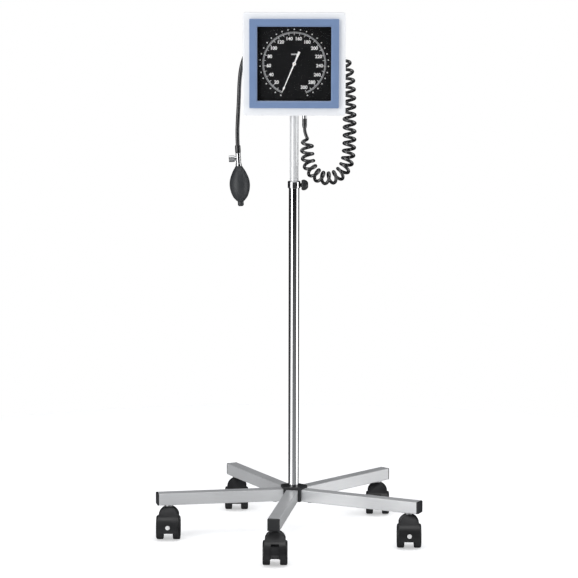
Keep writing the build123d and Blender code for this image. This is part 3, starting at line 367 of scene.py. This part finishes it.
# The wave texture turns 20 radians for each unit of its scale, so the weave repeats every 5.7 mm
WEAVE_SCALE = 55.0
WEAVE_DEPTH = 0.00025
# The threads' low places keep this share of the colour: painted shade in the weave's hollows
WEAVE_PAINTED_SHADE = 0.45


def woven(name, colour):
    """Plain-weave nylon, threads over and under each other, by the piece's UVs in metres, with painted
    shade in the weave's low places.
    """
    material = surface(name, colour, 0.75, grain=400.0, depth=0.00002, tint=0.12, uv=True,
                       Sheen_Weight=0.35, Sheen_Roughness=0.45)
    tree = material.node_tree
    shader = tree.nodes["Principled BSDF"]
    place = add(tree, "ShaderNodeTexCoord").outputs["UV"]
    heights = []
    threads = {
        "Vector": place, "Scale": WEAVE_SCALE, "Distortion": 0.6, "Detail": 1.0, "Detail Scale": 2.0,
    }
    for direction in ("X", "Y"):
        wave = add(tree, "ShaderNodeTexWave", threads, bands_direction=direction)
        heights.append(wave.outputs[1])
    weave = add(tree, "ShaderNodeMath", {0: heights[0], 1: heights[1]}, operation="MULTIPLY").outputs[0]
    base = shader.inputs["Base Color"].links[0].from_socket
    # Painted shade: the colour darkens where the weave's height is low, in its hollows
    lit = mixed(tree, ranged(tree, weave, 0.0, 0.9), [channel * WEAVE_PAINTED_SHADE for channel in colour], base)
    tree.links.new(lit, shader.inputs["Base Color"])
    under = shader.inputs["Normal"].links[0].from_socket
    bump = add(tree, "ShaderNodeBump",
               {"Height": weave, "Strength": 0.8, "Distance": WEAVE_DEPTH, "Normal": under})
    tree.links.new(bump.outputs["Normal"], shader.inputs["Normal"])
    return material


def clear(name):
    """A clear acrylic window that lets the light of lamps through."""
    material = surface(name, (1.0, 1.0, 1.0), 0.04, grain=200.0, depth=0.0000005, tint=0.0, spread=0.015,
                       IOR=1.45, Transmission_Weight=1.0)
    tree = material.node_tree
    shader = tree.nodes["Principled BSDF"]
    path = add(tree, "ShaderNodeLightPath")
    open_air = add(tree, "ShaderNodeBsdfTransparent")
    mix = add(tree, "ShaderNodeMixShader", {0: path.outputs["Is Shadow Ray"]})
    tree.links.new(shader.outputs[0], mix.inputs[1])
    tree.links.new(open_air.outputs[0], mix.inputs[2])
    tree.links.new(mix.outputs[0], tree.nodes["Material Output"].inputs["Surface"])
    return material


def brushed(name, turn):
    """Brushed aluminium, its brush lines along a leg at that angle."""
    return surface(name, (0.66, 0.665, 0.67), 0.36, grain=2600.0, depth=0.000012, tint=0.07, spread=0.08,
                   patches=9.0, stretch=90.0, turn=turn, Metallic=0.38)


MATERIALS = {
    "white_plastic": surface("white_plastic", (0.86, 0.87, 0.885), 0.38, grain=1400.0, depth=0.000025,
                             tint=0.02),
    "blue_plastic": surface("blue_plastic", (0.165, 0.245, 0.415), 0.42, grain=1400.0, depth=0.00003,
                            tint=0.05),
    "clear_lens": clear("clear_lens"),
    "dial_black": surface("dial_black", (0.005, 0.0053, 0.006), 0.55, grain=2500.0, depth=0.000015,
                          tint=0.2, Specular_IOR_Level=0.15),
    "pointer_white": surface("pointer_white", (0.88, 0.88, 0.87), 0.35, grain=2500.0, depth=0.00001,
                             tint=0.03),
    "brass": surface("brass", (0.72, 0.52, 0.22), 0.28, grain=1800.0, depth=0.00001, tint=0.12, spread=0.1,
                     patches=120.0, Metallic=1.0),
    "capsule_bronze": surface("capsule_bronze", (0.62, 0.38, 0.17), 0.33, grain=1200.0, depth=0.00002,
                              tint=0.15, spread=0.1, patches=90.0, Metallic=1.0),
    "steel": surface("steel", (0.55, 0.555, 0.56), 0.3, grain=2200.0, depth=0.00001, tint=0.08, spread=0.1,
                     patches=120.0, Metallic=1.0),
    "chrome_tube": surface("chrome_tube", (0.86, 0.865, 0.875), 0.035, grain=260.0, depth=0.000001,
                           tint=0.02, spread=0.015, patches=14.0, Metallic=1.0),
    "chrome_trim": surface("chrome_trim", (0.80, 0.805, 0.815), 0.12, grain=900.0, depth=0.000004,
                           tint=0.04, spread=0.05, patches=60.0, Metallic=1.0),
    "satin_tube": surface("satin_tube", (0.88, 0.885, 0.89), 0.42, grain=2600.0, depth=0.00001, tint=0.03,
                          spread=0.06, patches=20.0, stretch=0.02, Metallic=0.35),
    "black_plastic": surface("black_plastic", (0.024, 0.025, 0.027), 0.42, grain=1300.0, depth=0.00004,
                             tint=0.15),
    "castor_plastic": surface("castor_plastic", (0.018, 0.018, 0.019), 0.36, grain=1100.0, depth=0.00004,
                              tint=0.15, spread=0.08),
    "wheel_plastic": surface("wheel_plastic", (0.016, 0.016, 0.017), 0.45, grain=1300.0, depth=0.00005,
                             tint=0.25, spread=0.12, patches=60.0),
    "hose_rubber": surface("hose_rubber", (0.009, 0.0095, 0.011), 0.22, grain=1600.0, depth=0.00001,
                           tint=0.12, spread=0.06, Specular_IOR_Level=0.9, Coat_Weight=0.6,
                           Coat_Roughness=0.12, Coat_IOR=1.6),
    "bulb_rubber": surface("bulb_rubber", (0.034, 0.036, 0.039), 0.45, grain=1500.0, depth=0.00004,
                           tint=0.12, spread=0.08, patches=45.0),
    "cuff_fabric": woven("cuff_fabric", (0.022, 0.028, 0.05)),
    "print_white": surface("print_white", (0.80, 0.80, 0.80), 0.6, grain=3000.0, depth=0.00001, tint=0.06),
    "print_grey": surface("print_grey", (0.44, 0.45, 0.46), 0.6, grain=3000.0, depth=0.00001, tint=0.06),
    "rivet_zinc": surface("rivet_zinc", (0.82, 0.82, 0.82), 0.4, grain=2200.0, depth=0.00001, tint=0.06,
                          patches=120.0, Metallic=0.3),
    "stitching": surface("stitching", (0.10, 0.11, 0.15), 0.7, grain=3500.0, depth=0.00008, tint=0.3),
    "hook_tape": surface("hook_tape", (0.018, 0.02, 0.028), 0.85, grain=1500.0, depth=0.0004, tint=0.5),
}


def paint(piece, name):
    """Give a piece one of the materials, in every slot it has."""
    if not piece.data.materials:
        piece.data.materials.append(MATERIALS[name])
    for place in piece.material_slots:
        place.link = "OBJECT"
        place.material = MATERIALS[name]


def leg_angle(name):
    """The angle that a leg points at, from above."""
    out = middle(name) - MAST
    return math.atan2(out.y, out.x)


# Each leg is brushed along its own length
for part in frame["record"]["subparts"]:
    name = part["node"]
    if name.startswith("leg_") and name[4:].isdigit():
        MATERIALS[name] = brushed("brushed_" + name, leg_angle(name))
        paint(frame["nodes"][name], name)
    else:
        paint(frame["nodes"][name], part["material_slot"])
paint(coiled_hose, "hose_rubber")
paint(bulb_tube, "hose_rubber")


# ---- The dial's printing ----------------------------------------------------------------------
# Millimetres from the pointer's axis; the scale runs clockwise from the lower left
MM = 0.001
PRINT_LIFT = 0.15
FULL_SCALE = 300
ZERO_FROM_DOWN = 23.0
SCALE_SWEEP = 314.0
DOT_RADIUS = 70.0
TICK_OUTER = 65.4
TICK_INNER = 62.2
LONG_TICK_INNER = 58.2
LABEL_RADIUS = 52.0
LABEL_HEIGHT = 7.2
LABEL_BOLDNESS = 0.032
UNIT_PLACE = Vector((0, 19.0, 0))
UNIT_HEIGHT = 4.6
DOT_SIZE = 1.3
LONG_TICK_WIDTH = 0.75
SHORT_TICK_WIDTH = 1.2
ARC_INNER = TICK_INNER - 0.4
ARC_WIDTH = 0.8
# Steps of the scale, in mmHg
SHORT_STEP = 2
LONG_STEP = 10
LABEL_STEP = 20


def on_dial(radius, value):
    """The place at this radius under a value of the scale."""
    turn = math.radians(ZERO_FROM_DOWN + SCALE_SWEEP * value / FULL_SCALE)
    return Vector((-radius * math.sin(turn), -radius * math.cos(turn), 0))


def print_dots(shape):
    """A dot outside each long line of the scale."""
    for value in range(0, FULL_SCALE + 1, LONG_STEP):
        placed = Matrix.Translation(on_dial(DOT_RADIUS, value))
        bmesh.ops.create_circle(shape, cap_ends=True, segments=24, radius=DOT_SIZE, matrix=placed)


def print_ticks(shape, values, inner, outer, width):
    """A radial line at each value."""
    for value in values:
        near, far = on_dial(inner, value), on_dial(outer, value)
        aside = (far - near).normalized().cross(Vector((0, 0, 1))) * width / 2
        corners = [near - aside, near + aside, far + aside, far - aside]
        shape.faces.new([shape.verts.new(corner) for corner in corners])


def print_arc(shape, radius, width):
    """The thin line that the ticks stand on, in one piece for each short step."""
    for value in range(0, FULL_SCALE, SHORT_STEP):
        corners = [
            on_dial(radius, value), on_dial(radius + width, value),
            on_dial(radius + width, value + SHORT_STEP), on_dial(radius, value + SHORT_STEP),
        ]
        shape.faces.new([shape.verts.new(corner) for corner in corners])


def print_word(shape, text, height, centre):
    """A word of this height, with its middle at centre."""
    letters = bpy.data.curves.new("letters", "FONT")
    letters.body = text
    letters.offset = LABEL_BOLDNESS
    letters.resolution_u = 5
    holder = new_object("letters", letters)
    mesh = bpy.data.meshes.new_from_object(holder)
    bpy.data.objects.remove(holder)
    digits = [vertex.co for vertex in mesh.vertices]
    low = Vector((min(co.x for co in digits), min(co.y for co in digits), 0))
    high = Vector((max(co.x for co in digits), max(co.y for co in digits), 0))
    scale = height / (high.y - low.y)
    to_middle = Matrix.Translation(-(low + high) / 2)
    mesh.transform(Matrix.Translation(centre) @ Matrix.Scale(scale, 4) @ to_middle)
    shape.from_mesh(mesh)
    bpy.data.meshes.remove(mesh)


def printed(name, material, draw):
    """A printed layer on the dial, drawn flat and then stood up in front of the dial's face."""
    shape = bmesh.new()
    draw(shape)
    for face in shape.faces:
        if face.normal.z < 0:
            face.normal_flip()
    centre = middle("pinion_arbor")
    centre.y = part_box("dial_plate")[0].y - PRINT_LIFT * MM
    shape.transform(Matrix.Translation(centre) @ Matrix.Rotation(math.pi / 2, 4, "X") @ Matrix.Scale(MM, 4))
    mesh = bpy.data.meshes.new(name)
    shape.to_mesh(mesh)
    shape.free()
    layer = new_object(name, mesh)
    mesh.materials.append(MATERIALS[material])
    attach(layer, "head")


def draw_white(shape):
    """The dots, the long lines, the numbers and the unit."""
    print_dots(shape)
    long_lines = range(0, FULL_SCALE + 1, LONG_STEP)
    print_ticks(shape, long_lines, LONG_TICK_INNER, TICK_OUTER, LONG_TICK_WIDTH)
    for value in range(LABEL_STEP, FULL_SCALE + 1, LABEL_STEP):
        print_word(shape, str(value), LABEL_HEIGHT, on_dial(LABEL_RADIUS, value))
    print_word(shape, "mmHg", UNIT_HEIGHT, UNIT_PLACE)


def draw_grey(shape):
    """The line round the scale and the short lines."""
    short_lines = [value for value in range(0, FULL_SCALE + 1, SHORT_STEP) if value % LONG_STEP]
    print_ticks(shape, short_lines, TICK_INNER, TICK_OUTER, SHORT_TICK_WIDTH)
    print_arc(shape, ARC_INNER, ARC_WIDTH)


printed("dial_numbers", "print_white", draw_white)
printed("dial_scale", "print_grey", draw_grey)


# ---- Meshes made of a grid of points -----------------------------------------------------------
def grid_object(name, rows, material):
    """A smooth mesh over rows of points. Each row is closed into a ring."""
    shape = bmesh.new()
    uv_layer = shape.loops.layers.uv.new("uv")
    made = [[shape.verts.new(point) for point in row] for row in rows]
    for i in range(len(made) - 1):
        ring, next_ring = made[i], made[i + 1]
        for j in range(len(ring)):
            beside = (j + 1) % len(ring)
            face = shape.faces.new([ring[j], ring[beside], next_ring[beside], next_ring[j]])
            face.smooth = True
            corners = ((i, j), (i, j + 1), (i + 1, j + 1), (i + 1, j))
            for loop, (row, column) in zip(face.loops, corners):
                loop[uv_layer].uv = (row / len(made), column / len(ring))
    bmesh.ops.remove_doubles(shape, verts=shape.verts, dist=1e-6)
    bmesh.ops.recalc_face_normals(shape, faces=shape.faces)
    mesh = bpy.data.meshes.new(name)
    shape.to_mesh(mesh)
    shape.free()
    piece = new_object(name, mesh)
    mesh.materials.append(MATERIALS[material])
    return piece


# ---- Bulb -------------------------------------------------------------------------------------
# The bulb's axis, and its flange's distance from the end of the hose
BULB_DOWN = Vector((6.8, 0, -127.8)).normalized()
BULB_START = 0.0271
# (distance below the flange, radius)
BULB_PROFILE = [
    (0.0, 0.0060), (0.0120, 0.0135), (0.0300, 0.0202), (0.0470, 0.0206), (0.0650, 0.0148), (0.0746, 0.0062),
]
BULB_RINGS = 72
BULB_SIDES = 96
# The mould's line: its height, its width as a sine, and the angle at which it runs down the bulb
PARTING_HEIGHT = 0.00045
PARTING_WIDTH = 0.06
PARTING_ANGLE = math.radians(28)
# The bead at each end: its height, its width and its distance from the end
NECK_BEAD = 0.0005
NECK_WIDTH = 0.0011
NECK_INSET = 0.0022


def bulb_radius(distance):
    """The bulb's radius at a distance along it: a smooth curve through the profile's points."""
    points = BULB_PROFILE
    index = max(i for i in range(len(points) - 1) if points[i][0] <= distance)
    (x1, r1), (x2, r2) = points[index], points[index + 1]
    x0, r0 = points[index - 1] if index else (2 * x1 - x2, 2 * r1 - r2)
    x3, r3 = points[index + 2] if index + 2 < len(points) else (2 * x2 - x1, 2 * r2 - r1)
    slope1, slope2 = (r2 - r0) / (x2 - x0) * (x2 - x1), (r3 - r1) / (x3 - x1) * (x2 - x1)
    share = (distance - x1) / (x2 - x1)
    square, cube = share**2, share**3
    return (
        (2 * cube - 3 * square + 1) * r1 + (cube - 2 * square + share) * slope1
        + (3 * square - 2 * cube) * r2 + (cube - square) * slope2
    )


def make_bulb():
    """The inflation bulb, with the mould's parting line down both sides and a bead round each neck."""
    flange = BULB_HOSE_ROUTE[-1] + BULB_DOWN * BULB_START
    right = Vector((-BULB_DOWN.z, 0, BULB_DOWN.x))
    back = Vector((0, 1, 0))
    length = BULB_PROFILE[-1][0]
    rows = [[flange] * BULB_SIDES]
    for ring in range(BULB_RINGS + 1):
        distance = length * ring / BULB_RINGS
        radius = bulb_radius(min(distance, length - 1e-6))
        for neck in (NECK_INSET, length - NECK_INSET):
            radius += NECK_BEAD * math.exp(-((distance - neck) / NECK_WIDTH) ** 2)
        row = []
        for side in range(BULB_SIDES):
            angle = 2 * math.pi * side / BULB_SIDES
            seam = math.exp(-(math.sin(angle + PARTING_ANGLE) / PARTING_WIDTH) ** 2) * PARTING_HEIGHT
            full = radius + seam * math.sin(math.pi * ring / BULB_RINGS)
            outward = right * math.cos(angle) + back * math.sin(angle)
            row.append(flange + BULB_DOWN * distance + outward * full)
        rows.append(row)
    rows.append([flange + BULB_DOWN * length] * BULB_SIDES)
    bulb = grid_object("inflation_bulb", rows, material="bulb_rubber")
    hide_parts("bulb")
    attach(bulb, "head")


make_bulb()


# ---- Cuff -------------------------------------------------------------------------------------
CUFF_INNER = 0.0085
CUFF_PITCH = 0.0043
CUFF_TURNS = 4.6
CUFF_COLUMNS_PER_TURN = 80
HEM_THICKNESS = 0.0021
BLADDER_THICKNESS = 0.0038
HEM_WIDTH = 0.009
EDGE_ROUNDING = 0.0014
EDGE_STEPS = 4
FLAT_STEPS = 36
# The bladder swells over these stretches: metres in from the hems, and shares of the cuff's length
BLADDER_EASE = 0.008
BLADDER_START, BLADDER_START_EASE = 0.04, 0.08
BLADDER_END, BLADDER_END_EASE = 0.9, 0.06
END_ROUNDING = 0.003
# The crumple's depth, and how fast it changes with the turns and with the height
CRUMPLE = 0.0005
CRUMPLE_PER_TURN = 7.0
CRUMPLE_PER_METRE = 38.0
# The waves in the cuff's top edge: (height, waves in a turn, start in radians)
EDGE_WAVES = [(0.0011, 0.9, 0.0), (0.0006, 2.3, 1.0)]
CUFF_TOP_GAP = 0.0025
# Half of each stitch's thickness and of its width, with the length and the step between stitches
STITCH_HALF_THICKNESS = 0.0003
STITCH_HALF_WIDTH = 0.0004
STITCH_LENGTH = 0.0026
STITCH_STEP = 0.0036
STITCH_INSETS = (0.0045, 0.0075)
# The tape begins and stops this many turns before the cuff's outer end
TAPE_START_TURNS = 0.36
TAPE_STOP_TURNS = 0.03
TAPE_INSET = 0.016
TAPE_RISE = 0.0007
TAPE_EDGE_RISE = 0.0001
TAPE_COLUMNS = 30
TAPE_STEPS = 24


def cuff_heights(low, high):
    """Heights up the cuff, close together at its two rounded edges."""
    angles = [math.pi / 2 * step / EDGE_STEPS for step in range(EDGE_STEPS + 1)]
    edge = [EDGE_ROUNDING * (1 - math.cos(angle)) for angle in angles]
    inner_low, inner_high = low + EDGE_ROUNDING, high - EDGE_ROUNDING
    shares = [step / FLAT_STEPS for step in range(1, FLAT_STEPS)]
    between_edges = [inner_low + (inner_high - inner_low) * share for share in shares]
    return [low + part for part in edge] + between_edges + [high - part for part in reversed(edge)]


def cuff_thickness(along, height, low, high):
    """Thin at the hems, full over the bladder, and rounded off at every edge.

    Along is the share of the cuff's length.
    """
    inset = min(height - low, high - height)
    bladder = (
        eased((inset - HEM_WIDTH) / BLADDER_EASE)
        * eased((along - BLADDER_START) / BLADDER_START_EASE)
        * eased((BLADDER_END - along) / BLADDER_END_EASE)
    )
    full = HEM_THICKNESS + (BLADDER_THICKNESS - HEM_THICKNESS) * bladder
    rounding = min(1.0, inset / EDGE_ROUNDING, along / END_ROUNDING, (1 - along) / END_ROUNDING)
    return full * math.sqrt(max(0.0, 1 - (1 - rounding) ** 2))


def cuff_place(centre, turns, out, height, low, high):
    """A point on the rolled cuff, that many turns from its inner end and out from its layer's middle.

    The cloth is crumpled a little, and its edge waves more towards the top.
    """
    angle = 2 * math.pi * turns
    spot = Vector((turns * CRUMPLE_PER_TURN, height * CRUMPLE_PER_METRE, 0.0))
    crumple = noise.noise(spot) * CRUMPLE
    wave = sum(math.sin(angle * count + start) * size for size, count, start in EDGE_WAVES)
    lift = (height - low) / (high - low) * wave
    radius = CUFF_INNER + CUFF_PITCH * turns + out + crumple
    return Vector((centre.x + radius * math.cos(angle), centre.y + radius * math.sin(angle), height + lift))


def make_cuff():
    """The cuff, rolled up in its basket: one padded strip wound into a spiral, with hems at its edges."""
    low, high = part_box("cuff")
    centre = (low + high) / 2
    top = high.z - CUFF_TOP_GAP
    heights = cuff_heights(low.z, top)
    columns = int(CUFF_TURNS * CUFF_COLUMNS_PER_TURN)
    rows = []
    for column in range(columns + 1):
        along = column / columns
        turns = CUFF_TURNS * along
        ring = []
        for side, order in ((0.5, heights), (-0.5, heights[::-1])):
            for height in order:
                out = side * cuff_thickness(along, height, low.z, top)
                ring.append(cuff_place(centre, turns, out, height, low.z, top))
        rows.append(ring)
    cuff = grid_object("rolled_cuff", rows, material="cuff_fabric")
    lay_out_in_metres(cuff, centre)
    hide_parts("cuff")
    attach(cuff, "head")
    return centre, low.z, top


def lay_out_in_metres(cuff, centre):
    """Give the rolled strip UVs in metres: the way round it, and up it."""
    layer = cuff.data.uv_layers[0].data
    for polygon in cuff.data.polygons:
        for corner in polygon.loop_indices:
            co = cuff.data.vertices[cuff.data.loops[corner].vertex_index].co
            angle = math.atan2(co.y - centre.y, co.x - centre.x)
            radius = math.hypot(co.x - centre.x, co.y - centre.y)
            part_turn = angle / (2 * math.pi)
            turns = round((radius - CUFF_INNER) / CUFF_PITCH - part_turn) + part_turn
            length = 2 * math.pi * (CUFF_INNER * turns + CUFF_PITCH * turns**2 / 2)
            layer[corner].uv = (length, co.z)


def make_stitches(centre, low, top):
    """Two rows of stitches near each hem of the cuff's outer turn."""
    shape = bmesh.new()
    last_turn = 2 * math.pi * (CUFF_INNER + CUFF_PITCH * (CUFF_TURNS - 0.5))
    count = int(last_turn / STITCH_STEP) - 2
    for height in [low + inset for inset in STITCH_INSETS] + [top - inset for inset in STITCH_INSETS]:
        for number in range(count):
            turns = CUFF_TURNS - 1 + (number + 1.5) * STITCH_STEP / last_turn
            out = cuff_thickness(turns / CUFF_TURNS, height, low, top) / 2
            place = cuff_place(centre, turns, out, height, low, top)
            turned = Matrix.Rotation(2 * math.pi * turns + math.pi / 2, 4, "Z")
            half_sizes = (STITCH_LENGTH / 2, STITCH_HALF_THICKNESS, STITCH_HALF_WIDTH)
            sized = Matrix.Diagonal((*half_sizes, 1.0))
            laid = Matrix.Translation(place) @ turned @ sized
            bmesh.ops.create_icosphere(shape, subdivisions=2, radius=1.0, matrix=laid)
    for face in shape.faces:
        face.smooth = True
    mesh = bpy.data.meshes.new("cuff_stitches")
    shape.to_mesh(mesh)
    shape.free()
    mesh.materials.append(MATERIALS["stitching"])
    stitches = new_object("cuff_stitches", mesh)
    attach(stitches, "head")


def make_hook_tape(centre, low, top):
    """The hook tape sewn on the cuff's outer end."""
    start, end = CUFF_TURNS - TAPE_START_TURNS, CUFF_TURNS - TAPE_STOP_TURNS
    rows = []
    for column in range(TAPE_COLUMNS + 1):
        turns = start + (end - start) * column / TAPE_COLUMNS
        edge = column in (0, TAPE_COLUMNS)
        ring = []
        for side in (0, 1):
            for step in range(TAPE_STEPS + 1):
                share = step / TAPE_STEPS if side else 1 - step / TAPE_STEPS
                height = low + TAPE_INSET + (top - low - 2 * TAPE_INSET) * share
                flat = edge or step in (0, TAPE_STEPS)
                thick = cuff_thickness(turns / CUFF_TURNS, height, low, top) / 2
                out = thick + (TAPE_RISE if side and not flat else TAPE_EDGE_RISE)
                ring.append(cuff_place(centre, turns, out, height, low, top))
        rows.append(ring)
    tape = grid_object("cuff_hook_tape", rows, material="hook_tape")
    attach(tape, "head")


cuff_spot = make_cuff()
make_stitches(*cuff_spot)
make_hook_tape(*cuff_spot)


# ---- Castor rivets ----------------------------------------------------------------------------
RIVET_RADIUS = 0.0046
RIVET_RISE = 0.0009
RIVET_HEIGHT = 0.030
RIVET_RINGS = 8
RIVET_SIDES = 40


def make_rivet(number):
    """The bright domed rivet on the plug of a castor that has no brake."""
    low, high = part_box(f"castor_{number}_housing")
    centre = Vector(((low.x + high.x) / 2, low.y, RIVET_HEIGHT))
    rows = []
    angles = [2 * math.pi * side / RIVET_SIDES for side in range(RIVET_SIDES)]
    for ring in range(RIVET_RINGS + 1):
        turn = math.pi / 2 * ring / RIVET_RINGS
        radius, rise = RIVET_RADIUS * math.cos(turn), RIVET_RISE * math.sin(turn)
        rows.append([
            centre + Vector((radius * math.cos(angle), -rise, radius * math.sin(angle)))
            for angle in angles
        ])
    rivet = grid_object(f"castor_{number}_rivet", rows, material="rivet_zinc")
    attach(rivet, f"castor_{number}")


for castor in (2, 4, 5):
    make_rivet(castor)
